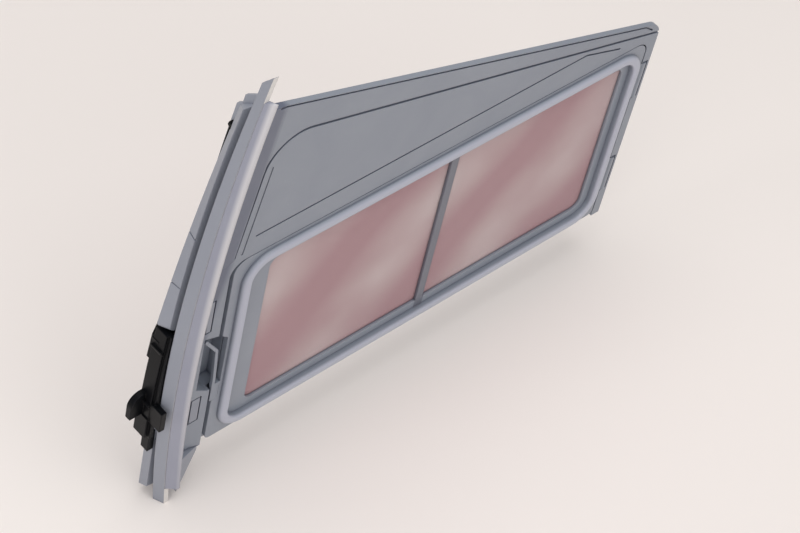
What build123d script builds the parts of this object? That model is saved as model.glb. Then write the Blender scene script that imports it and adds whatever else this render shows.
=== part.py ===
# Lint filter cassette of a laundry dryer: a flat filter body with a hinged gauze door,
# carried on a bowed front flange that has a soft lip seal and a sideways lock lever.
# Millimetres. x runs from the flange lip to the tip, y through the cassette
# (the door is on the -y side), z up. The flange stands on z = 0.
import os
from math import ceil, sqrt

from build123d import *

os.makedirs("parts", exist_ok=True)

# Flange lines: arcs in the x-z plane, all furthest forward at bow_height
bow_height = 75.0
crest_front = -8.5
crest_radius = 620.0
shoulder_front = -5.5
shoulder_radius = 720.0
lip_front = 0.0
lip_radius = 775.0
loft_step = 45.0

# Flange, across y
rail_inner = 5.5
rail_outer = 10.5
rail_depth = 2.6
rail_top = 256.0
rail_top_slope = 6.0
rail_wall = 1.6
rail_wall_bottom = 18.0
flange_plate_top = 243.0
flange_top_slope = 8.5
flange_plate_far = 6.4
flange_plate_thickness = 1.6
flange_back_step = 4.0
groove_width = 1.3
ridge_far = 3.0
ridge_draft = 0.25
ridge_flank = 2.0
ridge_end = 118.0
ridge_end_front = -10.1
ridge_end_slope = 0.1665
ridge_radius = 905.0
ridge_corner = 3.0
ridge_line_low = 145.0
ridge_line_high = 173.0
ridge_line_width = 0.7
ridge_line_depth = 0.4
foot_ridge_bottom = 4.3
foot_ridge_slope = 4.6
foot_ridge_top = 42.0
foot_ridge_front = -6.0

# Lip seal: a skin that dips beside the rail, swells and ends in a thin lip
seal_reach = 3.5
seal_bottom = 12.0
seal_top = 250.0
seal_facets = 6
seal_lip_thickness = 0.8
seal_root = 3.0

# Body: box behind the door, and the thin fin above it
box_depth = 12.0
box_bottom = 23.4
box_top = 151.0
tip_x = 279.0
tip_radius = 5.0
fin_thickness = 2.6
fin_peak_z = 239.4
fin_tip_z = 155.5
fin_corner = 10.0
line_depth = 0.8
panel_line_width = 1.3
panel_corner = 19.0
panel_foot_x = 20.2
panel_foot_z = 151.8
panel_peak_x = 32.2
panel_peak_z = 218.8
panel_tip_z = 149.9
fold_line_width = 0.9
fold_line_depth = 0.35
fold_line_shift = 4.3
fold_line_drop = 19.0
rim_line_width = 0.8
rim_line_drop = 0.9
rim_line_left = 31.0
rim_line_bend = 267.6
rim_line_right = 273.0
rim_line_fall = 4.2
bead_line_width = 0.9
bead_line_left = 31.2
bead_line_bend = 227.0
bead_line_right = 251.4
bead_line_z = 159.5
bead_line_rise = 2.0
bead_line_fall = 6.5
root_edge_foot = 19.7
root_edge_slope = 0.177
root_rise = 2.0
root_step = 0.7
pocket_left = 5.2
pocket_wall = 4.2
pocket_side = 2.1
pocket_drop = 13.2
pocket_corner = 6.0

# Door
door_left = 21.9
door_right = 273.0
door_bottom = 25.6
door_top = 147.0
door_thickness = 2.8
door_gap = 0.4
door_left_gap = 2.3
hinge_side_gap = 0.7
door_seat_gap = 0.4
door_top_corner = 8.0
door_foot_corner = 3.0
bead_side = 5.0
bead_edge = 2.0
bead_width = 5.0
bead_height = 2.4
bead_round = 2.1
bead_lip_round = 1.2
bead_corner = 15.0
ledge_width = 5.0
ledge_left = 12.0
ledge_depth = 1.0
window_corner = 5.0
mullion_width = 4.6
gauze_thickness = 0.4
gauze_margin = 2.0

# Hinge at the tip
hinge_setback = 2.4
hinge_depth = 1.2
hinge_pin_diameter = 1.8
hinge_eye_diameter = 3.8
hinge_slot_length = 24.0
hinge_slot_low = 42.4
hinge_slot_high = 108.0
hinge_slot_wall = 1.2
hinge_end_gap = 0.5
hinge_pin_seat = 3.0
running_fit = 0.05

# Rear screen
rear_thickness = 2.0
rear_ledge = 2.4
rear_fit = 0.15

# Finger scoop in the body, the hole in the door beside it, and the springy latch tongue
scoop_left = 11.4
scoop_bottom = 64.0
scoop_top = 104.2
scoop_slant = 5.0
scoop_foot = 6.8
scoop_depth = 9.4
hole_reach = 3.5
hole_bottom = 66.2
hole_top = 99.6
hole_slant = 3.0
latch_x = 21.4
latch_bottom = 54.6
latch_bend = 70.7
latch_neck_x = 20.0
latch_neck_z = 90.7
latch_tip_x = 12.8
latch_tip_z = 101.2
latch_width = 1.6
latch_thickness = 1.8
latch_root = 3.0
latch_fit = 0.1

# Neck of the flange inside the body
neck_width = 8.6
neck_fit = 0.2
neck_reach = 17.5
neck_low_bottom = 32.0
neck_low_top = 63.4
neck_high_bottom = 106.0
neck_high_top = 146.0
snap_low_left = 9.4
snap_low_width = 6.0
snap_low_bottom = 45.4
snap_low_height = 17.4
snap_high_left = 10.4
snap_high_width = 3.9
snap_high_bottom = 108.0
snap_high_height = 21.0
snap_line = 0.7
skirt_bottom = 4.0
skirt_reach = 18.0
skirt_root = 3.0
skirt_seat = 0.8
skirt_seat_rise = 3.6
skirt_far = 5.5
fin_rib_thickness = 1.5
fin_rib_drop = 4.0
fin_rib_reach = 9.0

# Lock lever
lever_front = -12.9
lever_vertex = 50.0
lever_radius = 580.0
lever_thickness = 3.2
lever_bottom = 50.5
lever_block_top = 117.6
lever_half_width = 3.5
lever_edge_width = 1.6
lever_edge_setback = 1.2
lever_pad_top = 63.6
lever_pad_height = 0.6
lever_pad_far = 4.0
arm_near = 3.6
arm_width = 1.4
arm_thickness = 1.4
arm_floor_gap = 0.3
arm_bottom = 98.0
arm_bend_low = 112.0
arm_bend_high = 152.0
lever_pivot_drop = 17.0
lever_eye_diameter = 2.8
lever_eye_gap = 0.3
lever_pin_diameter = 1.2
lever_pin_head = 2.2
lever_pin_head_height = 0.4
lever_rib_low = 72.5
lever_rib_high = 107.0
lever_rib_width = 1.3
lever_rib_height = 0.9
tongue_bottom = 62.0
tongue_top = 74.0
tongue_reach = 11.0
tongue_setback = 0.3
knob_top = 77.5
knob_reach = 7.0
knob_round = 6.4
knob_thickness = 3.0
lever_foot_length = 11.0
lever_foot_width = 4.5
lever_foot_near = 4.0
lever_foot_thickness = 2.3
lever_foot_setback = 3.0

# Planes and heights the pieces share
near_face = -box_depth / 2
far_face = box_depth / 2
fin_far = near_face + fin_thickness
door_back = near_face + door_thickness
door_seat = door_back + door_seat_gap
bead_crest = near_face - bead_height
ledge_face = near_face + ledge_depth
latch_back = near_face + latch_thickness
hinge_x = door_right + hinge_setback
hinge_y = near_face + hinge_depth
rear_seat = far_face - rear_thickness
lip_y = -(rail_outer + seal_reach)
arm_centre = arm_near + arm_width / 2
lever_pivot_z = flange_plate_top - lever_pivot_drop
overshoot = 1.0


def bow(z, front, radius, vertex=bow_height):
    return front + radius - sqrt(radius**2 - (z - vertex) ** 2)


def crest(z):
    return bow(z, crest_front, crest_radius)


def shoulder(z):
    return bow(z, shoulder_front, shoulder_radius)


def lip(z):
    return bow(z, lip_front, lip_radius)


def flange_back(z):
    return lip(z) + flange_back_step


def flange_floor(z):
    return flange_back(z) - flange_plate_thickness


def flange_core(z):
    # Middle of the flange's back plate, where the ridges and the skirt are rooted
    return flange_back(z) - flange_plate_thickness / 2


def ridge_edge(z):
    rise = z - ridge_end
    return ridge_end_front + ridge_end_slope * rise + rise**2 / (2 * ridge_radius)


def lever_face(z):
    return bow(z, lever_front, lever_radius, lever_vertex)


def arm_front(z):
    return flange_floor(z) - arm_floor_gap - arm_thickness


def fin_edge(x):
    peak_x = flange_back(fin_peak_z)
    return fin_peak_z - (fin_peak_z - fin_tip_z) * (x - peak_x) / (tip_x - peak_x)


def root_edge(z):
    return root_edge_foot + root_edge_slope * (z - box_top)


def side(y):
    # Sketch plane across the cassette at y, drawn in x and z, extruding towards the door side
    return Plane(origin=(0, y, 0), x_dir=(1, 0, 0), z_dir=(0, -1, 0))


def grown(box, amount):
    return (box[0] - amount, box[1] + amount, box[2] - amount, box[3] + amount)


def bowed_bar(section, low, high):
    # Loft a cross-section, given as a function of z, from low to high
    count = max(3, ceil((high - low) / loft_step) + 1)
    outlines = []
    for i in range(count):
        z = low + (high - low) * i / (count - 1)
        with BuildSketch(Plane.XY.offset(z)) as outline:
            with BuildLine():
                Polyline(*section(z), close=True)
            make_face()
        outlines.append(outline.sketch)
    loft(outlines)


def slab(x0, x1, z0, z1, y_far, y_near, mode=Mode.ADD):
    # Rectangular block between two corners
    with BuildSketch(side(y_far)) as outline:
        with Locations(((x0 + x1) / 2, (z0 + z1) / 2)):
            Rectangle(x1 - x0, z1 - z0)
    extrude(outline.sketch, amount=y_far - y_near, mode=mode)


def rounded_slab(x0, x1, z0, z1, radius, y_far, y_near, mode=Mode.ADD):
    with BuildSketch(side(y_far)) as outline:
        with Locations(((x0 + x1) / 2, (z0 + z1) / 2)):
            RectangleRounded(x1 - x0, z1 - z0, radius)
    extrude(outline.sketch, amount=y_far - y_near, mode=mode)


def plate(points, y_far, y_near, mode=Mode.ADD):
    # Flat piece with a many-sided outline in x and z
    with BuildSketch(side(y_far)) as outline:
        with BuildLine():
            Polyline(*points, close=True)
        make_face()
    extrude(outline.sketch, amount=y_far - y_near, mode=mode)


def strip(points, width, y_far, y_near, mode=Mode.ADD):
    # Narrow strip that follows a path in x and z
    with BuildSketch(side(y_far)) as outline:
        with BuildLine():
            Polyline(*points)
            offset(amount=width / 2)
        make_face()
    extrude(outline.sketch, amount=y_far - y_near, mode=mode)


# Window of the door, shared by the rear screen and both gauzes
bead = (door_left + bead_side, door_right - bead_edge, door_bottom + bead_edge, door_top - bead_edge)
bead_inside = grown(bead, -bead_width)
window = (
    bead_inside[0] + ledge_left,
    bead_inside[1] - ledge_width,
    bead_inside[2] + ledge_width,
    bead_inside[3] - ledge_width,
)
gauze = grown(window, gauze_margin)
mullion_x = (window[0] + window[1]) / 2
mullion = (
    mullion_x - mullion_width / 2,
    mullion_x + mullion_width / 2,
    window[2] - overshoot,
    window[3] + overshoot,
)
pocket = (door_left + pocket_left, door_right - pocket_side, box_bottom + pocket_wall, box_top - pocket_drop)
rear_recess = grown(pocket, rear_ledge)
hinge_slots = [
    (hinge_slot_low, hinge_slot_low + hinge_slot_length),
    (hinge_slot_high, hinge_slot_high + hinge_slot_length),
]
snap_windows = [
    (snap_low_left, snap_low_left + snap_low_width, snap_low_bottom, snap_low_bottom + snap_low_height),
    (snap_high_left, snap_high_left + snap_high_width, snap_high_bottom, snap_high_bottom + snap_high_height),
]
necks = [(neck_low_bottom, neck_low_top), (neck_high_bottom, neck_high_top)]
skirt_left = flange_core(box_bottom)
skirt_low_end = box_bottom + skirt_seat
skirt_high_end = skirt_low_end + skirt_seat_rise
latch_tab = (latch_x, door_left + latch_root, latch_bottom, hole_bottom)


def root_section(z):
    step = root_step * (fin_peak_z - z) / (fin_peak_z - box_top)
    bite = near_face + fin_thickness / 2
    return [
        (flange_back(z), bite),
        (root_edge(z), bite),
        (root_edge(z), near_face - step),
        (flange_back(z), near_face - root_rise),
    ]


# Body frame
with BuildPart() as body_frame:
    with BuildSketch(side(far_face)):
        with BuildLine():
            foot = (flange_back(box_bottom), box_bottom)
            shelf = (flange_back(box_top), box_top)
            middle = (box_bottom + box_top) / 2
            ThreePointArc(foot, (flange_back(middle), middle), shelf)
            Polyline(shelf, (tip_x, box_top), (tip_x, box_bottom), foot)
        make_face()
        fillet(vertices().group_by(Axis.Y)[-1].sort_by(Axis.X)[-1], tip_radius)
    extrude(amount=box_depth)

    # Slope from the foot of the fin down to the far face
    with BuildSketch(Plane.YZ):
        with BuildLine():
            Polyline(
                (fin_far, box_top),
                (far_face, box_top - (far_face - fin_far)),
                (far_face + overshoot, box_top - (far_face - fin_far)),
                (far_face + overshoot, box_top + overshoot),
                (fin_far, box_top + overshoot),
                close=True,
            )
        make_face()
    extrude(amount=tip_x + overshoot, mode=Mode.SUBTRACT)

    # Fin, and the ramp that thickens its root beside the flange
    with BuildSketch(side(fin_far)):
        with BuildLine():
            peak = (flange_back(fin_peak_z), fin_peak_z)
            middle = (box_bottom + fin_peak_z) / 2
            ThreePointArc(foot, (flange_back(middle), middle), peak)
            Polyline(peak, (tip_x, fin_tip_z), (tip_x, box_bottom), foot)
        make_face()
        fillet(vertices().sort_by(Axis.X)[-2:].sort_by(Axis.Y)[-1], fin_corner)
    extrude(amount=fin_thickness)
    bowed_bar(root_section, box_top, fin_peak_z)
    trim = (flange_back(fin_peak_z) - overshoot, root_edge(fin_peak_z) + overshoot)
    plate(
        [
            (trim[0], fin_edge(trim[0])),
            (trim[1], fin_edge(trim[1])),
            (trim[1], fin_peak_z + 2 * overshoot),
            (trim[0], fin_peak_z + 2 * overshoot),
        ],
        fin_far + overshoot,
        near_face - root_rise - overshoot,
        Mode.SUBTRACT,
    )

    # Recess for the door, open at the foot
    with BuildSketch(side(door_seat)):
        left = door_left - door_left_gap
        right = door_right + hinge_side_gap
        top = door_top + door_gap
        with BuildLine():
            Polyline((left, 0), (left, top), (right, top), (right, 0), close=True)
        make_face()
        fillet(vertices().group_by(Axis.Y)[-1], door_top_corner)
    extrude(amount=door_seat - near_face + overshoot, mode=Mode.SUBTRACT)

    # Lint pocket, open to the rear, with a ledge for the rear screen
    rounded_slab(*pocket, pocket_corner, far_face + overshoot, door_seat - overshoot, Mode.SUBTRACT)
    rounded_slab(*rear_recess, pocket_corner, far_face + overshoot, rear_seat, Mode.SUBTRACT)

    # Sockets for the necks of the flange, and their snap windows
    for low, high in necks:
        slab(
            flange_back(low) - flange_back_step,
            neck_reach + neck_fit,
            low - neck_fit,
            high + neck_fit,
            neck_width / 2 + neck_fit,
            -neck_width / 2 - neck_fit,
            Mode.SUBTRACT,
        )
    for box in snap_windows:
        slab(*box, 0, near_face - overshoot, Mode.SUBTRACT)

    # Slanted step in the foot that seats the skirt of the flange
    plate(
        [
            (0, skirt_high_end + neck_fit),
            (skirt_left, skirt_high_end + neck_fit),
            (skirt_reach + neck_fit, skirt_low_end + neck_fit),
            (skirt_reach + neck_fit, 0),
            (0, 0),
        ],
        far_face + overshoot,
        near_face - overshoot,
        Mode.SUBTRACT,
    )

    # Finger scoop beside the door
    scoop_right = door_left + hole_reach
    plate(
        [
            (scoop_left, scoop_top),
            (scoop_right, scoop_top - scoop_slant),
            (scoop_right, scoop_bottom),
            (scoop_right - scoop_foot, scoop_bottom),
            (scoop_left, scoop_bottom + scoop_slant),
        ],
        near_face + scoop_depth,
        near_face - overshoot,
        Mode.SUBTRACT,
    )

    # Fine lines in the face of the fin: below its top edge, round the panel, above the door
    with BuildSketch(side(near_face + line_depth)):
        with BuildLine():
            FilletPolyline(
                (panel_foot_x, panel_foot_z),
                (panel_peak_x, panel_peak_z),
                (tip_x + overshoot, panel_tip_z),
                radius=panel_corner,
            )
            offset(amount=panel_line_width / 2)
        make_face()
    extrude(amount=line_depth + overshoot, mode=Mode.SUBTRACT)
    fold_line = [
        (panel_foot_x + fold_line_shift, panel_foot_z),
        (panel_peak_x + fold_line_shift - fold_line_drop * root_edge_slope, panel_peak_z - fold_line_drop),
    ]
    rim_bend_z = fin_edge(rim_line_bend) - rim_line_drop
    rim_line = [
        (rim_line_left, fin_edge(rim_line_left) - rim_line_drop),
        (rim_line_bend, rim_bend_z),
        (rim_line_right, rim_bend_z - rim_line_fall),
    ]
    bead_line = [
        (bead_line_left, bead_line_z),
        (bead_line_bend, bead_line_z + bead_line_rise),
        (bead_line_right, bead_line_z - bead_line_fall),
    ]
    lines = [
        (rim_line, rim_line_width, line_depth),
        (bead_line, bead_line_width, line_depth),
        (fold_line, fold_line_width, fold_line_depth),
    ]
    for path, width, depth in lines:
        strip(path, width, near_face + depth, near_face - overshoot, Mode.SUBTRACT)

    # Hinge slots in the tip bar, with seats for the pins
    for low, high in hinge_slots:
        slab(
            door_right - overshoot,
            tip_x - hinge_slot_wall,
            low,
            high,
            hinge_y + hinge_eye_diameter / 2 + door_gap,
            near_face - overshoot,
            Mode.SUBTRACT,
        )
        with BuildSketch(Plane.XY.offset(low - hinge_pin_seat)):
            with Locations((hinge_x, hinge_y)):
                Circle(hinge_pin_diameter / 2)
        extrude(amount=hinge_slot_length + 2 * hinge_pin_seat, mode=Mode.SUBTRACT)
body_frame.part.label = "body_frame"
export_step(body_frame.part, "parts/body_frame.step")

# Rear screen and its gauze
with BuildPart() as rear_screen:
    rounded_slab(*grown(rear_recess, -rear_fit), pocket_corner - rear_fit, far_face, rear_seat)
    rounded_slab(*window, window_corner, far_face + overshoot, rear_seat - overshoot, Mode.SUBTRACT)
    slab(*mullion, far_face, rear_seat)
    rounded_slab(*gauze, window_corner, rear_seat + gauze_thickness, rear_seat - overshoot, Mode.SUBTRACT)
rear_screen.part.label = "rear_screen"
export_step(rear_screen.part, "parts/rear_screen.step")

with BuildPart() as rear_gauze:
    rounded_slab(*gauze, window_corner, rear_seat + gauze_thickness, rear_seat)
rear_gauze.part.label = "rear_gauze"
export_step(rear_gauze.part, "parts/rear_gauze.step")

# Door: a thin plate with a rounded bead round its window, a sunk ledge and a mullion
with BuildPart() as mesh_door:
    with BuildSketch(side(door_back)):
        with BuildLine():
            Polyline(
                (door_left, door_bottom),
                (door_left, door_top),
                (door_right, door_top),
                (door_right, door_bottom),
                close=True,
            )
        make_face()
        fillet(vertices().group_by(Axis.Y)[-1], door_top_corner - door_gap)
        fillet(vertices().group_by(Axis.Y)[0], door_foot_corner)
    extrude(amount=door_thickness)
    rounded_slab(*bead, bead_corner, near_face, bead_crest)
    bead_rim = mesh_door.faces().sort_by(Axis.Y)[0].edges()
    fillet(bead_rim, bead_round)
    rounded_slab(*bead_inside, bead_corner - bead_width, ledge_face, bead_crest - overshoot, Mode.SUBTRACT)
    bead_lip = mesh_door.faces().filter_by(Axis.Y).sort_by(Axis.Y)[0].inner_wires()[0].edges()
    fillet(bead_lip, bead_lip_round)
    rounded_slab(*window, window_corner, door_back + overshoot, ledge_face - overshoot, Mode.SUBTRACT)
    slab(*mullion, door_back, ledge_face)
    rounded_slab(*gauze, window_corner, door_back + overshoot, door_back - gauze_thickness, Mode.SUBTRACT)

    # Hole beside the finger scoop, and the rebate for the root of the latch
    plate(
        [
            (door_left - overshoot, hole_top),
            (door_left, hole_top),
            (door_left + hole_reach, hole_top - hole_slant),
            (door_left + hole_reach, hole_bottom),
            (door_left - overshoot, hole_bottom),
        ],
        door_back + overshoot,
        near_face - overshoot,
        Mode.SUBTRACT,
    )
    slab(*grown(latch_tab, latch_fit), latch_back, near_face - overshoot, Mode.SUBTRACT)

    # Hinge eyes
    for low, high in hinge_slots:
        with BuildSketch(Plane.XY.offset(low + hinge_end_gap)):
            with Locations((hinge_x, hinge_y)):
                Circle(hinge_eye_diameter / 2)
            with Locations(((door_right - overshoot + hinge_x) / 2, (near_face + door_back) / 2)):
                Rectangle(hinge_x - door_right + overshoot, door_thickness)
            with Locations((hinge_x, hinge_y)):
                Circle(hinge_pin_diameter / 2 + running_fit, mode=Mode.SUBTRACT)
        extrude(amount=hinge_slot_length - 2 * hinge_end_gap)
mesh_door.part.label = "mesh_door"
export_step(mesh_door.part, "parts/mesh_door.step")

with BuildPart() as door_gauze:
    rounded_slab(*gauze, window_corner, door_back, door_back - gauze_thickness)
door_gauze.part.label = "door_gauze"
export_step(door_gauze.part, "parts/door_gauze.step")

with BuildPart() as hinge_pins:
    for low, high in hinge_slots:
        with BuildSketch(Plane.XY.offset(low - hinge_pin_seat)):
            with Locations((hinge_x, hinge_y)):
                Circle(hinge_pin_diameter / 2)
        extrude(amount=hinge_slot_length + 2 * hinge_pin_seat)
hinge_pins.part.label = "hinge_pins"
export_step(hinge_pins.part, "parts/hinge_pins.step")

# Door latch: a springy tongue rooted in the door's edge, with a hook over the finger scoop
with BuildPart() as door_latch:
    slab(*latch_tab, latch_back, near_face)
    latch_path = [
        (latch_x, latch_bottom + latch_width / 2),
        (latch_x, latch_bend),
        (latch_neck_x, latch_neck_z),
        (latch_tip_x, latch_tip_z),
    ]
    strip(latch_path, latch_width, latch_back, near_face)
door_latch.part.label = "door_latch"
export_step(door_latch.part, "parts/door_latch.step")


def rail_section(z):
    # Where the crest bows back past the shoulder, the rail keeps half its depth behind it
    back = max(shoulder(z) + rail_depth, crest(z) + rail_depth / 2)
    return [
        (shoulder(z), -rail_outer),
        (crest(z), -rail_inner),
        (back, -rail_inner),
        (back, -rail_outer),
    ]


def wall_section(z):
    return [
        (shoulder(z) + rail_depth / 2, -rail_inner),
        (flange_back(z), -rail_inner),
        (flange_back(z), -rail_inner - rail_wall),
        (shoulder(z) + rail_depth / 2, -rail_inner - rail_wall),
    ]


def plate_section(z):
    return [
        (flange_floor(z), -rail_inner),
        (flange_floor(z), flange_plate_far),
        (flange_back(z), flange_plate_far),
        (flange_back(z), -rail_inner),
    ]


def ridge_section(z):
    near = -rail_inner + groove_width
    return [
        (flange_core(z), near),
        (crest(z), near + ridge_flank),
        (ridge_edge(z), ridge_far),
        (flange_core(z), ridge_far + ridge_draft),
    ]


def foot_ridge_section(z):
    near = -rail_inner + groove_width
    return [
        (flange_core(z), near),
        (foot_ridge_front, near + ridge_flank),
        (foot_ridge_front, ridge_far),
        (flange_core(z), ridge_far + ridge_draft),
    ]


# Front bezel: rail, wall, back plate, raised ridges, and the necks that hold the body
with BuildPart() as front_bezel:
    bowed_bar(rail_section, 0, rail_top + rail_top_slope)
    with BuildSketch(Plane.YZ.offset(crest_front)):
        with BuildLine():
            Polyline(
                (-rail_outer, rail_top + rail_top_slope),
                (-rail_inner, rail_top),
                (-rail_inner + overshoot, rail_top),
                (-rail_inner + overshoot, rail_top + 2 * rail_top_slope),
                (-rail_outer, rail_top + 2 * rail_top_slope),
                close=True,
            )
        make_face()
    extrude(amount=flange_back(rail_top) - crest_front, mode=Mode.SUBTRACT)
    bowed_bar(plate_section, 0, flange_plate_top)
    bowed_bar(wall_section, rail_wall_bottom, flange_plate_top)
    bowed_bar(foot_ridge_section, foot_ridge_bottom, foot_ridge_top)
    bowed_bar(ridge_section, ridge_end, flange_plate_top)
    slants = [
        [
            (-rail_inner, flange_plate_top),
            (flange_plate_far, flange_plate_top - flange_top_slope),
            (flange_plate_far + overshoot, flange_plate_top - flange_top_slope),
            (flange_plate_far + overshoot, flange_plate_top + overshoot),
            (-rail_inner, flange_plate_top + overshoot),
        ],
        [
            (ridge_far, foot_ridge_bottom),
            (-rail_inner + groove_width / 2, foot_ridge_bottom + foot_ridge_slope),
            (-rail_inner + groove_width / 2, foot_ridge_bottom - overshoot),
            (ridge_far, foot_ridge_bottom - overshoot),
        ],
    ]
    slant_depths = [flange_back(flange_plate_top), flange_floor(bow_height)]
    for outline, depth in zip(slants, slant_depths):
        with BuildSketch(Plane.YZ.offset(ridge_end_front)):
            with BuildLine():
                Polyline(*outline, close=True)
            make_face()
        extrude(amount=depth - ridge_end_front, mode=Mode.SUBTRACT)
    ends = front_bezel.faces().filter_by(Axis.Z)
    ridge_sole = ends.sort_by(lambda face: abs(face.center().Z - ridge_end))[0]
    fillet([ridge_sole.edges().sort_by(Axis.Y)[-1], ridge_sole.edges().sort_by(Axis.X)[0]], ridge_corner)

    # Fine lines across the ridge
    for z in (ridge_line_low, ridge_line_high):
        groove_middle = -rail_inner + groove_width / 2
        with BuildSketch(Plane.XY.offset(z - ridge_line_width / 2)):
            with BuildLine():
                Polyline(
                    (crest(z) + ridge_line_depth, groove_middle),
                    (ridge_edge(z) + ridge_line_depth, ridge_far + overshoot),
                    (ridge_end_front - overshoot, ridge_far + overshoot),
                    (ridge_end_front - overshoot, groove_middle),
                    close=True,
                )
            make_face()
        extrude(amount=ridge_line_width, mode=Mode.SUBTRACT)

    # Necks with snap catches that fill the body's windows
    for low, high in necks:
        with BuildSketch(side(neck_width / 2)):
            with BuildLine():
                neck_left = [(flange_core(z), z) for z in (low, (low + high) / 2, high)]
                ThreePointArc(*neck_left)
                Polyline(neck_left[-1], (neck_reach, high), (neck_reach, low), neck_left[0])
            make_face()
        extrude(amount=neck_width)
    for box in snap_windows:
        slab(*grown(box, -snap_line), 0, near_face)

    # Skirt that tapers from the flange to the foot of the body
    with BuildSketch(Plane.YZ.offset(skirt_left)):
        with BuildLine():
            Polyline(
                (-rail_outer, skirt_bottom),
                (skirt_far, skirt_bottom),
                (skirt_far, skirt_high_end),
                (-rail_outer, skirt_high_end),
                close=True,
            )
        make_face()
    with BuildSketch(Plane.YZ.offset(skirt_reach)):
        with BuildLine():
            Polyline(
                (near_face, skirt_low_end - skirt_root),
                (skirt_far, skirt_low_end - skirt_root),
                (skirt_far, skirt_low_end),
                (near_face, skirt_low_end),
                close=True,
            )
        make_face()
    loft()

    # Rib that backs the root of the fin
    with BuildSketch(side(fin_far + fin_rib_thickness)):
        with BuildLine():
            rib_top = fin_peak_z - fin_rib_drop
            rib_middle = (box_top + rib_top) / 2
            rib_left = [(flange_floor(z), z) for z in (box_top, rib_middle, rib_top)]
            ThreePointArc(*rib_left)
            rib_right = [(flange_back(z) + fin_rib_reach, z) for z in (rib_top, box_top)]
            Polyline(rib_left[-1], *rib_right, rib_left[0])
        make_face()
    extrude(amount=fin_rib_thickness)

    # Room for the lever's eye beside the ridge, and the seat for its pin
    with BuildSketch(Plane.YZ.offset(crest_front)):
        with Locations((arm_centre, lever_pivot_z)):
            Circle(lever_eye_diameter / 2 + lever_eye_gap)
    extrude(amount=flange_floor(lever_pivot_z) - crest_front, mode=Mode.SUBTRACT)
    with BuildSketch(Plane.YZ.offset(flange_floor(lever_pivot_z) - overshoot)):
        with Locations((arm_centre, lever_pivot_z)):
            Circle(lever_pin_diameter / 2)
    extrude(amount=flange_plate_thickness + 2 * overshoot, mode=Mode.SUBTRACT)
front_bezel.part.label = "front_bezel"
export_step(front_bezel.part, "parts/front_bezel.step")


def seal_section(z):
    root = shoulder(z)
    reach = lip(z) - root
    skin = []
    for i in range(seal_facets + 1):
        share = i / seal_facets
        swell = share**2 * (3 - 2 * share)
        skin.append((root + reach * share, -rail_outer - seal_reach * swell))
    return skin + [(lip(z) + seal_lip_thickness, lip_y), (root + seal_root, -rail_outer)]


# Lip seal along the near rail
with BuildPart() as lip_seal:
    bowed_bar(seal_section, seal_bottom, seal_top)
lip_seal.part.label = "lip_seal"
export_step(lip_seal.part, "parts/lip_seal.step")


def lever_band(low, high, setback, depth):
    # Outline of a length of the lever, in x and z, between two depths behind its face
    middle = (low + high) / 2
    front = [(lever_face(z) + setback, z) for z in (low, middle, high)]
    back = [(lever_face(z) + depth, z) for z in (high, middle, low)]
    ThreePointArc(*front)
    Line(front[-1], back[0])
    ThreePointArc(*back)
    Line(back[-1], front[0])


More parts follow.
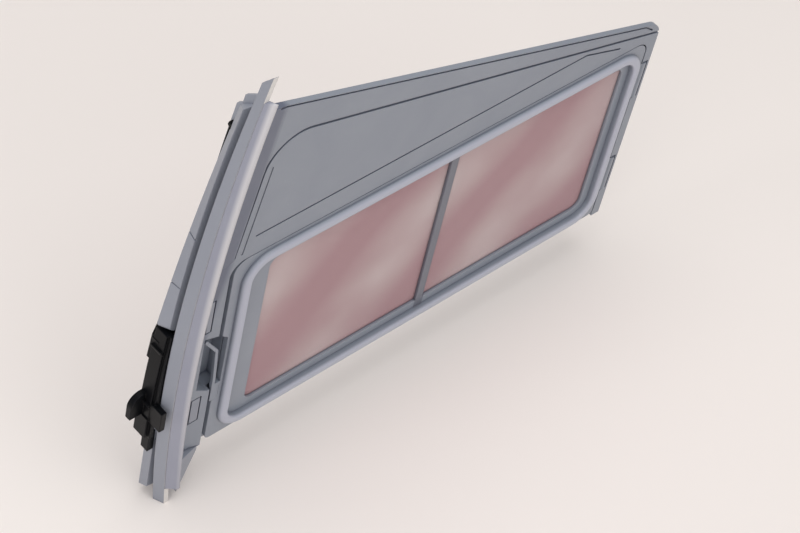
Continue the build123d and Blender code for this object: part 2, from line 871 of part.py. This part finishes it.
# Lock lever: a cranked arm beside the ridge, a thumb block in the gap, a tongue over the rail
with BuildPart() as lock_lever:
    with BuildSketch(side(lever_half_width)):
        with BuildLine():
            lever_band(lever_bottom, lever_block_top, 0, lever_thickness)
        make_face()
    extrude(amount=2 * lever_half_width)
    with BuildSketch(side(-lever_half_width)):
        with BuildLine():
            lever_band(lever_bottom, lever_block_top, lever_edge_setback, lever_thickness)
        make_face()
    extrude(amount=lever_edge_width)
    with BuildSketch(side(lever_pad_far)):
        with BuildLine():
            lever_band(lever_bottom, lever_pad_top, -lever_pad_height, lever_thickness)
        make_face()
    extrude(amount=lever_pad_far + lever_half_width)

    # Arm: behind the block's face below, down by the flange's back plate above the bend
    with BuildSketch(side(arm_near + arm_width)):
        with BuildLine():
            arm_middle = (arm_bend_high + lever_pivot_z) / 2
            front_low = [(lever_face(z), z) for z in (arm_bottom, arm_bend_low)]
            front_high = [(arm_front(z), z) for z in (arm_bend_high, arm_middle, lever_pivot_z)]
            back_high = [(x + arm_thickness, z) for x, z in reversed(front_high)]
            back_low = [(x + arm_thickness, z) for x, z in reversed(front_low)]
            Polyline(back_high[-1], *back_low, *front_low, front_high[0])
            ThreePointArc(*front_high)
            Line(front_high[-1], back_high[0])
            ThreePointArc(*back_high)
        make_face()
    extrude(amount=arm_width)
    slab(
        lever_face(arm_bottom) + overshoot,
        lever_face(arm_bottom) + arm_thickness,
        arm_bottom + overshoot,
        arm_bend_low - overshoot,
        arm_centre,
        0,
    )

    # Eye for the pin
    eye_front = arm_front(lever_pivot_z)
    with BuildSketch(Plane.YZ.offset(eye_front)):
        with Locations((arm_centre, lever_pivot_z)):
            Circle(lever_eye_diameter / 2)
    extrude(amount=arm_thickness)
    with BuildSketch(Plane.YZ.offset(eye_front - overshoot)):
        with Locations((arm_centre, lever_pivot_z)):
            Circle(lever_pin_diameter / 2 + running_fit)
    extrude(amount=arm_thickness + 2 * overshoot, mode=Mode.SUBTRACT)

    # Grip ribs across the face
    for z in (lever_rib_low, lever_rib_high):
        slab(
            lever_face(z) - lever_rib_height,
            lever_face(z) + overshoot,
            z - lever_rib_width / 2,
            z + lever_rib_width / 2,
            lever_half_width,
            -lever_half_width,
        )

    # Tongue over the rail
    tongue_middle = (tongue_bottom + tongue_top) / 2
    slab(
        lever_face(tongue_middle) + tongue_setback,
        lever_face(tongue_middle) + lever_thickness,
        tongue_bottom,
        tongue_top,
        0,
        -tongue_reach,
    )

    # Thumb fin with a round brow
    with BuildSketch(side(lever_half_width)):
        with BuildLine():
            knob_front = lever_face(lever_pad_top) - knob_reach
            Polyline(
                (lever_face(lever_pad_top) + overshoot, lever_pad_top),
                (knob_front, lever_pad_top),
                (knob_front, knob_top),
                (lever_face(knob_top) + overshoot, knob_top),
                close=True,
            )
        make_face()
        fillet(vertices().sort_by(Axis.X)[:2].sort_by(Axis.Y)[-1], knob_round)
    extrude(amount=knob_thickness)

    # Foot below the block
    foot_front = lever_face(lever_bottom) + lever_foot_setback - overshoot
    slab(
        foot_front,
        foot_front + overshoot + lever_foot_thickness,
        lever_bottom - lever_foot_length,
        lever_bottom + lever_foot_thickness,
        lever_foot_width - lever_foot_near,
        -lever_foot_near,
    )
lock_lever.part.label = "lock_lever"
export_step(lock_lever.part, "parts/lock_lever.step")

# Pin the lever turns on
with BuildPart() as lever_pin:
    pin_front = eye_front - lever_eye_gap
    with BuildSketch(Plane.YZ.offset(pin_front - lever_pin_head_height)):
        with Locations((arm_centre, lever_pivot_z)):
            Circle(lever_pin_head / 2)
    extrude(amount=lever_pin_head_height)
    with BuildSketch(Plane.YZ.offset(pin_front)):
        with Locations((arm_centre, lever_pivot_z)):
            Circle(lever_pin_diameter / 2)
    extrude(amount=flange_core(lever_pivot_z) - pin_front)
lever_pin.part.label = "lever_pin"
export_step(lever_pin.part, "parts/lever_pin.step")
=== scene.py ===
# Lint filter cassette: finishes, gauzes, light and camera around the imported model
import math

import bmesh
import bpy
from mathutils import Matrix, Vector


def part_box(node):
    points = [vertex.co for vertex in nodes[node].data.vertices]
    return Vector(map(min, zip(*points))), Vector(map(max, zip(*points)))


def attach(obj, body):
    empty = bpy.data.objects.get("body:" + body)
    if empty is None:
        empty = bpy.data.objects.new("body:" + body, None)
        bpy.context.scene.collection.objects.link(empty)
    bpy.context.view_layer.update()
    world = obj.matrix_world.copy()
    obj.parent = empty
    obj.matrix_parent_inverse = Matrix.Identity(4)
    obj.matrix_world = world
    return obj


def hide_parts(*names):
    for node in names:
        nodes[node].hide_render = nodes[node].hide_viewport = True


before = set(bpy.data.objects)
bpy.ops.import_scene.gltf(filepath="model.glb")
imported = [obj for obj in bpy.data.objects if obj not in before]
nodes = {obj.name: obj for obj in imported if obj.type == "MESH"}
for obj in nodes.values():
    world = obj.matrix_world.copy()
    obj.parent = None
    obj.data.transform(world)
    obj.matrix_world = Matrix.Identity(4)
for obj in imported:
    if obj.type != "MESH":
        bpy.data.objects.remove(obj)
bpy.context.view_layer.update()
mm = 0.001


def tint(red, green, blue):
    # sRGB 0-255 to the linear colour a shader takes
    def linear(v):
        v = v / 255
        return v / 12.92 if v <= 0.04045 else ((v + 0.055) / 1.055) ** 2.4
    return (linear(red), linear(green), linear(blue), 1.0)


# Node helpers

def newGroup(name, inputs, outputs):
    group = bpy.data.node_groups.new(name, "ShaderNodeTree")
    for label, value in inputs:
        socket = group.interface.new_socket(
            label, in_out="INPUT", socket_type="NodeSocketFloat"
        )
        socket.default_value = value
    for label, kind in outputs:
        group.interface.new_socket(label, in_out="OUTPUT", socket_type=kind)
    return group, group.nodes.new("NodeGroupInput"), group.nodes.new("NodeGroupOutput")


def newMaterial(name):
    material = bpy.data.materials.new(name)
    material.use_nodes = True
    tree = material.node_tree
    return material, tree, tree.nodes["Principled BSDF"]


def addNode(tree, kind, values=None, **props):
    node = tree.nodes.new(kind)
    for key, value in props.items():
        setattr(node, key, value)
    for key, value in (values or {}).items():
        node.inputs[key].default_value = value
    return node


def feed(tree, socket, value):
    # a socket takes a plain value or a link
    if isinstance(value, (int, float, tuple)):
        socket.default_value = value
    else:
        tree.links.new(value, socket)


def mathNode(tree, operation, *values):
    node = addNode(tree, "ShaderNodeMath", operation=operation)
    for index, value in enumerate(values):
        feed(tree, node.inputs[index], value)
    return node.outputs[0]


def mixColour(tree, factor, first, second):
    # sockets 6 and 7 and output 2 are the colour ones of this node
    node = addNode(tree, "ShaderNodeMix", data_type="RGBA")
    for index, value in ((0, factor), (6, first), (7, second)):
        feed(tree, node.inputs[index], value)
    return node.outputs[2]


def rangeNode(tree, value, low, high, toLow=0.0, toHigh=1.0):
    node = addNode(tree, "ShaderNodeMapRange", {1: low, 2: high, 3: toLow, 4: toHigh})
    tree.links.new(value, node.inputs[0])
    return node.outputs[0]


def overlayTone(material, mask, tone):
    # a tone over what the base colour is so far
    tree = material.node_tree
    socket = tree.nodes["Principled BSDF"].inputs["Base Color"]
    before = socket.links[0].from_socket
    tree.links.new(mixColour(tree, mask, before, tint(*tone)), socket)


def placeMesh(name, mesh, material):
    mesh.materials.append(material)
    piece = bpy.data.objects.new(name, mesh)
    bpy.context.scene.collection.objects.link(piece)
    return piece


# Shared effects
grainLook = dict(
    size=1400.0, detail=3.0, rough=0.62,
    patchSize=22.0, patchDetail=4.0, patchRough=0.55, patchBend=0.4, patchSpan=(0.3, 0.7),
)
edgeLook = dict(
    radius=0.55 * mm, samples=8, bend=(0.97, 0.86),
    breakSize=260.0, breakDetail=3.0, breakSpan=(0.35, 0.65), breakLeast=0.35,
    reach=2.0 * mm, outerSpan=(0.75, 0.95), grooveShadeSpan=(0.85, 0.35),
)
dustLook = dict(
    size=900.0, detail=5.0, rough=0.7, span=(0.58, 0.72),
    cloudSize=30.0, cloudDetail=4.0, cloudSpan=(0.45, 0.7), tone=(214, 210, 206),
)


def makeMouldGrain():
    # fine spark-eroded texture of a moulding, with broad sheen patches
    look = grainLook
    group, entry, leave = newGroup(
        "mouldGrain",
        [("Size", look["size"]), ("Patch", look["patchSize"])],
        [("Height", "NodeSocketFloat"), ("Patches", "NodeSocketFloat")],
    )
    place = addNode(group, "ShaderNodeTexCoord")
    grain = addNode(
        group, "ShaderNodeTexNoise",
        {"Detail": look["detail"], "Roughness": look["rough"]},
    )
    patch = addNode(
        group, "ShaderNodeTexNoise",
        {
            "Detail": look["patchDetail"], "Roughness": look["patchRough"],
            "Distortion": look["patchBend"],
        },
    )
    for texture, label in ((grain, "Size"), (patch, "Patch")):
        group.links.new(place.outputs["Object"], texture.inputs["Vector"])
        group.links.new(entry.outputs[label], texture.inputs["Scale"])
    group.links.new(grain.outputs["Fac"], leave.inputs["Height"])
    patches = rangeNode(group, patch.outputs["Fac"], *look["patchSpan"])
    group.links.new(patches, leave.inputs["Patches"])
    return group


def makeSoftEdge():
    # rounded normal at sharp edges, a mask of the outer edges, and a mask of painted shade in
    # the grooves from ambient occlusion
    look = edgeLook
    group, entry, leave = newGroup(
        "softEdge",
        [("Break", look["breakSize"]), ("Reach", look["reach"])],
        [
            ("Normal", "NodeSocketVector"), ("Edge", "NodeSocketFloat"),
            ("GrooveShade", "NodeSocketFloat"),
        ],
    )
    rounded = addNode(
        group, "ShaderNodeBevel", {"Radius": look["radius"]}, samples=look["samples"]
    )
    plain = addNode(group, "ShaderNodeNewGeometry")
    dot = addNode(group, "ShaderNodeVectorMath", operation="DOT_PRODUCT")
    group.links.new(rounded.outputs["Normal"], dot.inputs[0])
    group.links.new(plain.outputs["Normal"], dot.inputs[1])
    place = addNode(group, "ShaderNodeTexCoord")
    broken = addNode(group, "ShaderNodeTexNoise", {"Detail": look["breakDetail"]})
    group.links.new(place.outputs["Object"], broken.inputs["Vector"])
    group.links.new(entry.outputs["Break"], broken.inputs["Scale"])
    edge = rangeNode(group, dot.outputs["Value"], *look["bend"])
    ragged = rangeNode(group, broken.outputs["Fac"], *look["breakSpan"], look["breakLeast"])
    shade = addNode(group, "ShaderNodeAmbientOcclusion", samples=look["samples"])
    group.links.new(entry.outputs["Reach"], shade.inputs["Distance"])
    outer = rangeNode(group, shade.outputs["AO"], *look["outerSpan"])
    grooveShadeMask = rangeNode(group, shade.outputs["AO"], *look["grooveShadeSpan"])
    worn = mathNode(group, "MULTIPLY", edge, ragged)
    group.links.new(mathNode(group, "MULTIPLY", worn, outer), leave.inputs["Edge"])
    group.links.new(grooveShadeMask, leave.inputs["GrooveShade"])
    group.links.new(rounded.outputs["Normal"], leave.inputs["Normal"])
    return group


def makeDust():
    # pale specks of dust, in loose clouds
    look = dustLook
    group, entry, leave = newGroup(
        "dust", [("Speck", look["size"])], [("Mask", "NodeSocketFloat")]
    )
    place = addNode(group, "ShaderNodeTexCoord")
    speck = addNode(
        group, "ShaderNodeTexNoise",
        {"Detail": look["detail"], "Roughness": look["rough"]},
    )
    cloud = addNode(
        group, "ShaderNodeTexNoise",
        {"Scale": look["cloudSize"], "Detail": look["cloudDetail"]},
    )
    for texture in (speck, cloud):
        group.links.new(place.outputs["Object"], texture.inputs["Vector"])
    group.links.new(entry.outputs["Speck"], speck.inputs["Scale"])
    fine = rangeNode(group, speck.outputs["Fac"], *look["span"])
    broad = rangeNode(group, cloud.outputs["Fac"], *look["cloudSpan"])
    group.links.new(mathNode(group, "MULTIPLY", fine, broad), leave.inputs["Mask"])
    return group


mouldGrain = makeMouldGrain()
softEdge = makeSoftEdge()
dust = makeDust()
print("shared effects made")


# Moulded plastics: one look, with each finish's own values
mouldLook = dict(patchRough=0.10, bumpDepth=0.1 * mm)
# each finish's last two values give the tone and share of its painted shade in the grooves
plasticFinishes = {
    "shell": dict(
        base=(142, 148, 159), patch=(136, 142, 154), edge=(176, 181, 192),
        rough=0.34, gloss=0.50, bump=0.05, wear=0.40, lint=0.10,
        grooveShadeTone=(72, 76, 94), grooveShadeShare=0.75,
    ),
    "door": dict(
        base=(142, 148, 159), patch=(136, 142, 154), edge=(176, 181, 192),
        rough=0.30, gloss=0.55, bump=0.04, wear=0.40, lint=0.10,
        grooveShadeTone=(72, 76, 94), grooveShadeShare=0.75,
    ),
    "bezel": dict(
        base=(148, 152, 163), patch=(142, 146, 158), edge=(182, 185, 194),
        rough=0.36, gloss=0.45, bump=0.05, wear=0.40, lint=0.10,
        grooveShadeTone=(78, 82, 100), grooveShadeShare=0.6,
    ),
    "seal": dict(
        base=(154, 156, 170), patch=(147, 149, 164), edge=(206, 204, 208),
        rough=0.48, gloss=0.40, bump=0.03, wear=0.25, lint=0.06,
        grooveShadeTone=(112, 114, 136), grooveShadeShare=0.5,
    ),
    "lever": dict(
        base=(9, 10, 13), patch=(12, 13, 17), edge=(48, 50, 56),
        rough=0.30, gloss=0.10, bump=0.04, wear=0.35, lint=0.01,
        grooveShadeTone=(8, 8, 10), grooveShadeShare=0.5,
    ),
}


def mouldedPlastic(name, finish):
    material, tree, shader = newMaterial(name)
    grain = addNode(tree, "ShaderNodeGroup", node_tree=mouldGrain)
    edges = addNode(tree, "ShaderNodeGroup", node_tree=softEdge)
    film = addNode(tree, "ShaderNodeGroup", node_tree=dust)
    patches = grain.outputs["Patches"]
    colour = mixColour(tree, patches, tint(*finish["base"]), tint(*finish["patch"]))
    wear = mathNode(tree, "MULTIPLY", edges.outputs["Edge"], finish["wear"])
    colour = mixColour(tree, wear, colour, tint(*finish["edge"]))
    # painted shade: the grooves' ambient-occlusion mask darkens the colour towards the shade
    # tone
    sunkShade = mathNode(tree, "MULTIPLY", edges.outputs["GrooveShade"], finish["grooveShadeShare"])
    colour = mixColour(tree, sunkShade, colour, tint(*finish["grooveShadeTone"]))
    lint = mathNode(tree, "MULTIPLY", film.outputs["Mask"], finish["lint"])
    colour = mixColour(tree, lint, colour, tint(*dustLook["tone"]))
    tree.links.new(colour, shader.inputs["Base Color"])
    roughest = finish["rough"] + mouldLook["patchRough"]
    rough = rangeNode(tree, patches, 0.0, 1.0, finish["rough"], roughest)
    tree.links.new(rough, shader.inputs["Roughness"])
    bump = addNode(
        tree, "ShaderNodeBump",
        {"Strength": finish["bump"], "Distance": mouldLook["bumpDepth"]},
    )
    tree.links.new(grain.outputs["Height"], bump.inputs["Height"])
    tree.links.new(edges.outputs["Normal"], bump.inputs["Normal"])
    tree.links.new(bump.outputs["Normal"], shader.inputs["Normal"])
    shader.inputs["Specular IOR Level"].default_value = finish["gloss"]
    return material


# Hinge pins
wirePin = dict(
    base=(150, 150, 154), line=(112, 112, 118), rough=0.32, roughest=0.47,
    lines=2600.0, detail=2.0, stretch=0.02, span=(0.3, 0.7),
)


def drawnWire(name):
    # steel wire with drawing lines along the pin
    material, tree, shader = newMaterial(name)
    place = addNode(tree, "ShaderNodeTexCoord")
    squeeze = addNode(tree, "ShaderNodeMapping", {"Scale": (1.0, 1.0, wirePin["stretch"])})
    lines = addNode(
        tree, "ShaderNodeTexNoise",
        {"Scale": wirePin["lines"], "Detail": wirePin["detail"]},
    )
    tree.links.new(place.outputs["Object"], squeeze.inputs["Vector"])
    tree.links.new(squeeze.outputs["Vector"], lines.inputs["Vector"])
    drawn = lines.outputs["Fac"]
    colour = mixColour(tree, drawn, tint(*wirePin["base"]), tint(*wirePin["line"]))
    tree.links.new(colour, shader.inputs["Base Color"])
    rough = rangeNode(tree, drawn, *wirePin["span"], wirePin["rough"], wirePin["roughest"])
    tree.links.new(rough, shader.inputs["Roughness"])
    shader.inputs["Metallic"].default_value = 1.0
    return material


# Bands of painted light and shade: a painted highlight on the seal's lip, on the sides of the
# rail's ends and on the bead, and painted shade at the fin's root
paintedLightBands = {
    # painted highlight along the seal's lip edge
    "seal": dict(
        across=(0.0, 1.0, -0.008), start=-13.6 * mm, full=-15.1 * mm,
        tone=(210, 208, 211), share=0.85,
    ),
    # painted highlight on the lit near side faces of the rail's ends
    "bezel": dict(
        across=(0.0, 1.0, 0.0), start=-10.40 * mm, full=-10.48 * mm,
        tone=(228, 224, 220), share=0.90,
    ),
    # painted highlight on the door's raised bead
    "door": dict(
        across=(0.0, 1.0, 0.0), start=-6.6 * mm, full=-8.1 * mm,
        tone=(186, 189, 204), share=0.80,
    ),
    # painted shade on the fin's root beside the flange
    "shell": dict(
        across=(1.0, 0.0, -0.177), start=-5.2 * mm, full=-8.8 * mm,
        tone=(82, 88, 110), share=0.75,
    ),
}


def addPaintedLightBand(material, band):
    # the tone sets in at start and holds from full, along the direction across
    tree = material.node_tree
    place = addNode(tree, "ShaderNodeTexCoord")
    along = addNode(
        tree, "ShaderNodeVectorMath", {1: band["across"]}, operation="DOT_PRODUCT"
    )
    tree.links.new(place.outputs["Object"], along.inputs[0])
    distance = along.outputs["Value"]
    mask = rangeNode(tree, distance, band["start"], band["full"], 0.0, band["share"])
    overlayTone(material, mask, band["tone"])


# Painted shade on the door's middle bar, darker than the ledge it stands level with
barPaintedShade = dict(half=2.5 * mm, soft=0.5 * mm, front=-5.6 * mm, tone=(92, 92, 104), share=0.70)


def addBarPaintedShade(material, band):
    # painted shade: the middle strip behind its front plane is darkened towards the tone
    low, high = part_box("door_gauze")
    tree = material.node_tree
    place = addNode(tree, "ShaderNodeTexCoord")
    split = addNode(tree, "ShaderNodeSeparateXYZ")
    tree.links.new(place.outputs["Object"], split.inputs[0])
    offset = mathNode(tree, "SUBTRACT", split.outputs["X"], (low.x + high.x) / 2)
    aside = mathNode(tree, "ABSOLUTE", offset)
    outer = band["half"] + band["soft"]
    inside = rangeNode(tree, aside, outer, band["half"], 0.0, band["share"])
    back = band["front"] + band["soft"]
    sunkShade = rangeNode(tree, split.outputs["Y"], band["front"], back)
    overlayTone(material, mathNode(tree, "MULTIPLY", inside, sunkShade), band["tone"])


finishes = {name: mouldedPlastic(name, values) for name, values in plasticFinishes.items()}
finishes["pin"] = drawnWire("pin")
for name, band in paintedLightBands.items():
    addPaintedLightBand(finishes[name], band)
addBarPaintedShade(finishes["door"], barPaintedShade)
nodeFinish = {
    "body_frame": "shell",
    "rear_screen": "shell",
    "mesh_door": "door",
    "front_bezel": "bezel",
    "lip_seal": "seal",
    "door_latch": "shell",
    "lock_lever": "lever",
    "hinge_pins": "pin",
    "lever_pin": "lever",
}
for node, finish in nodeFinish.items():
    nodes[node].data.materials.clear()
    nodes[node].data.materials.append(finishes[finish])
print("moulded finishes on", len(nodeFinish), "nodes")


# Two small forms beside the solids, in mm: the flange plate's top and the lever's inner wall
flangeTop = dict(
    bowHeight=75.0, bowRadius=775.0, front=2.5, back=3.9,
    yzCorners=((-5.4, 242.4), (3.9, 235.5), (3.9, 240.4), (-5.4, 247.4)),
)
leverWall = dict(
    far=3.4, near=2.2,
    xzCorners=((-10.6, 64.0), (-6.0, 56.0), (2.0, 56.0), (2.0, 116.0), (-7.0, 116.0)),
)


def blockBetween(name, firstLoop, secondLoop, body, finish):
    mesh = bpy.data.meshes.new(name)
    count = len(firstLoop)
    sides = []
    for corner in range(count):
        after = (corner + 1) % count
        sides.append((corner, after, count + after, count + corner))
    ends = [tuple(reversed(range(count))), tuple(range(count, 2 * count))]
    points = [tuple(value * mm for value in point) for point in firstLoop + secondLoop]
    mesh.from_pydata(points, [], ends + sides)
    block = bmesh.new()
    block.from_mesh(mesh)
    bmesh.ops.recalc_face_normals(block, faces=block.faces)
    block.to_mesh(mesh)
    block.free()
    piece = placeMesh(name, mesh, finishes[finish])
    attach(piece, body)


def plateX(z, step):
    # x of the flange's bowed back plate, a step behind the lip
    radius = flangeTop["bowRadius"]
    return step + radius - math.sqrt(radius ** 2 - (z - flangeTop["bowHeight"]) ** 2)


plateLoops = [
    [(plateX(z, flangeTop[face]), y, z) for y, z in flangeTop["yzCorners"]]
    for face in ("front", "back")
]
wallLoops = [
    [(x, leverWall[edge], z) for x, z in leverWall["xzCorners"]] for edge in ("near", "far")
]
blockBetween("flangePlateTop", *plateLoops, "cassette", "bezel")
blockBetween("leverInnerWall", *wallLoops, "lever", "lever")
print("small forms added")


# Gauzes: stretched woven sheets, each in the place of its plain solid
gauzeLook = dict(
    thread=(171, 131, 137), pale=(208, 193, 192), paleShare=0.85,
    pitch=0.42 * mm, coverSpan=(0.35, 0.5), open=0.30,
    bandTurn=-44.0, bandScale=3.9, bandPhase=0.55, bandBend=3.0, bandDetail=2.0,
    bandDetailScale=0.9, bandSpan=(0.1, 1.0),
    blotch=24.0, blotchDetail=2.0, blotchRough=0.4, blotchSpan=(0.3, 0.7), blotchLeast=0.35,
    rough=0.62, sheen=0.25, bump=0.35, bumpDepth=0.1 * mm,
    wave=0.35 * mm, waveAcross=9.0, waveUp=4.0, columns=168, rows=72,
)


def makeGauzeWeave():
    # warp and weft in the x-z plane: thread height, thread cover, and broad pale bands
    look = gauzeLook
    group, entry, leave = newGroup(
        "gauzeWeave",
        [("Pitch", look["pitch"]), ("Turn", 0.0)],
        [
            ("Height", "NodeSocketFloat"), ("Cover", "NodeSocketFloat"),
            ("Bands", "NodeSocketFloat"),
        ],
    )
    place = addNode(group, "ShaderNodeTexCoord")
    turn = addNode(group, "ShaderNodeVectorRotate", rotation_type="Y_AXIS")
    group.links.new(place.outputs["Object"], turn.inputs["Vector"])
    group.links.new(entry.outputs["Turn"], turn.inputs["Angle"])
    split = addNode(group, "ShaderNodeSeparateXYZ")
    group.links.new(turn.outputs["Vector"], split.inputs[0])
    threads = []
    for axis in ("X", "Z"):
        count = mathNode(group, "DIVIDE", split.outputs[axis], entry.outputs["Pitch"])
        phase = mathNode(group, "MULTIPLY", count, 2 * math.pi)
        threads.append(rangeNode(group, mathNode(group, "SINE", phase), -1.0, 1.0))
    height = mathNode(group, "MAXIMUM", *threads)
    group.links.new(height, leave.inputs["Height"])
    group.links.new(rangeNode(group, height, *look["coverSpan"]), leave.inputs["Cover"])
    slantTurn = (0.0, math.radians(look["bandTurn"]), 0.0)
    slant = addNode(group, "ShaderNodeMapping", {"Rotation": slantTurn})
    group.links.new(place.outputs["Object"], slant.inputs["Vector"])
    bands = addNode(
        group, "ShaderNodeTexWave",
        {
            "Scale": look["bandScale"], "Phase Offset": look["bandPhase"],
            "Distortion": look["bandBend"], "Detail": look["bandDetail"],
            "Detail Scale": look["bandDetailScale"],
        },
        bands_direction="X",
    )
    group.links.new(slant.outputs["Vector"], bands.inputs["Vector"])
    blotch = addNode(
        group, "ShaderNodeTexNoise",
        {
            "Scale": look["blotch"], "Detail": look["blotchDetail"],
            "Roughness": look["blotchRough"],
        },
    )
    group.links.new(place.outputs["Object"], blotch.inputs["Vector"])
    cloud = rangeNode(group, blotch.outputs["Fac"], *look["blotchSpan"], look["blotchLeast"])
    band = rangeNode(group, bands.outputs["Fac"], *look["bandSpan"])
    group.links.new(mathNode(group, "MULTIPLY", band, cloud), leave.inputs["Bands"])
    return group


gauzeWeave = makeGauzeWeave()


def wovenGauze(name, turn):
    look = gauzeLook
    material, tree, shader = newMaterial(name)
    weave = addNode(tree, "ShaderNodeGroup", node_tree=gauzeWeave)
    weave.inputs["Turn"].default_value = turn
    pale = mathNode(tree, "MULTIPLY", weave.outputs["Bands"], look["paleShare"])
    colour = mixColour(tree, pale, tint(*look["thread"]), tint(*look["pale"]))
    tree.links.new(colour, shader.inputs["Base Color"])
    cover = rangeNode(tree, weave.outputs["Cover"], 0.0, 1.0, 1.0 - look["open"])
    tree.links.new(cover, shader.inputs["Alpha"])
    bump = addNode(
        tree, "ShaderNodeBump", {"Strength": look["bump"], "Distance": look["bumpDepth"]}
    )
    tree.links.new(weave.outputs["Height"], bump.inputs["Height"])
    tree.links.new(bump.outputs["Normal"], shader.inputs["Normal"])
    shader.inputs["Roughness"].default_value = look["rough"]
    shader.inputs["Sheen Weight"].default_value = look["sheen"]
    return material


def gauzeSheet(name, node, body, material, phase):
    look = gauzeLook
    low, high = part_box(node)
    middle = (low.y + high.y) / 2
    mesh = bpy.data.meshes.new(name)
    sheet = bmesh.new()
    columns, rows = look["columns"], look["rows"]
    grid = []
    for row in range(rows + 1):
        line = []
        for column in range(columns + 1):
            across, up = column / columns, row / rows
            # slack between the frame and the mullion, none where the frame holds it
            held = abs(math.sin(2 * math.pi * across)) * math.sin(math.pi * up)
            ripple = math.sin(look["waveAcross"] * across + look["waveUp"] * up + phase)
            point = (
                low.x + (high.x - low.x) * across,
                middle + ripple * held * look["wave"],
                low.z + (high.z - low.z) * up,
            )
            line.append(sheet.verts.new(point))
        grid.append(line)
    for row in range(rows):
        for column in range(columns):
            corners = (grid[row][column], grid[row][column + 1])
            corners += (grid[row + 1][column + 1], grid[row + 1][column])
            sheet.faces.new(corners).smooth = True
    sheet.to_mesh(mesh)
    sheet.free()
    piece = placeMesh(name, mesh, material)
    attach(piece, body)
    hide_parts(node)


gauzeSheet(
    "doorGauze", "door_gauze", "door",
    material=wovenGauze("doorWeave", turn=0.0), phase=0.4,
)
gauzeSheet(
    "rearGauze", "rear_gauze", "cassette",
    material=wovenGauze("rearWeave", turn=0.05), phase=2.1,
)
print("gauzes stretched")


# Floor, light and camera
stageLook = dict(
    floor=(244, 237, 233), rough=0.9, gloss=0.1, size=6.0,
    world=0.42, worldColour=(1.0, 0.985, 0.97, 1.0),
)


def makeFloor():
    mesh = bpy.data.meshes.new("floor")
    half = stageLook["size"] / 2
    corners = [(-half, -half, 0), (half, -half, 0), (half, half, 0), (-half, half, 0)]
    mesh.from_pydata(corners, [], [(0, 1, 2, 3)])
    material, _, shader = newMaterial("paleFloor")
    shader.inputs["Base Color"].default_value = tint(*stageLook["floor"])
    shader.inputs["Roughness"].default_value = stageLook["rough"]
    shader.inputs["Specular IOR Level"].default_value = stageLook["gloss"]
    floor = placeMesh("floor", mesh, material)


lampAim = (0.14, 0.0, 0.12)
lamps = {
    "overhead": dict(at=(0.1, -0.1, 1.6), size=1.8, watts=14.5),
    "left": dict(at=(-1.3, -0.2, 1.0), size=1.2, watts=7.0),
    "front": dict(at=(0.1, -1.6, 0.9), size=1.4, watts=4.5),
}


def makeLamps():
    for name, lamp in lamps.items():
        light = bpy.data.lights.new(name, "AREA")
        light.size = lamp["size"]
        light.energy = lamp["watts"]
        holder = bpy.data.objects.new(name, light)
        holder.location = lamp["at"]
        towards = Vector(lampAim) - Vector(lamp["at"])
        holder.rotation_euler = towards.to_track_quat("-Z", "Y").to_euler()
        bpy.context.scene.collection.objects.link(holder)
    world = bpy.data.worlds.new("studio")
    world.use_nodes = True
    background = world.node_tree.nodes["Background"]
    background.inputs["Color"].default_value = stageLook["worldColour"]
    background.inputs["Strength"].default_value = stageLook["world"]
    bpy.context.scene.world = world


viewpoint = dict(
    eye=(-0.4878, -0.4802, 0.9377),
    right=(0.736, -0.656, 0.1673),
    up=(0.4183, 0.6349, 0.6495),
    lens=113.75, sensor=36.0, nearest=0.01,
)


def makeCamera():
    data = bpy.data.cameras.new("camera")
    data.sensor_fit = "HORIZONTAL"
    data.sensor_width = viewpoint["sensor"]
    data.lens = viewpoint["lens"]
    data.clip_start = viewpoint["nearest"]
    right = Vector(viewpoint["right"]).normalized()
    back = right.cross(Vector(viewpoint["up"])).normalized()
    up = back.cross(right)
    turn = Matrix((right, up, back)).transposed().to_4x4()
    camera = bpy.data.objects.new("camera", data)
    camera.matrix_world = Matrix.Translation(viewpoint["eye"]) @ turn
    bpy.context.scene.collection.objects.link(camera)
    bpy.context.scene.camera = camera


makeFloor()
makeLamps()
makeCamera()
bpy.context.scene.view_settings.view_transform = "Standard"
print("floor, lamps and camera set")
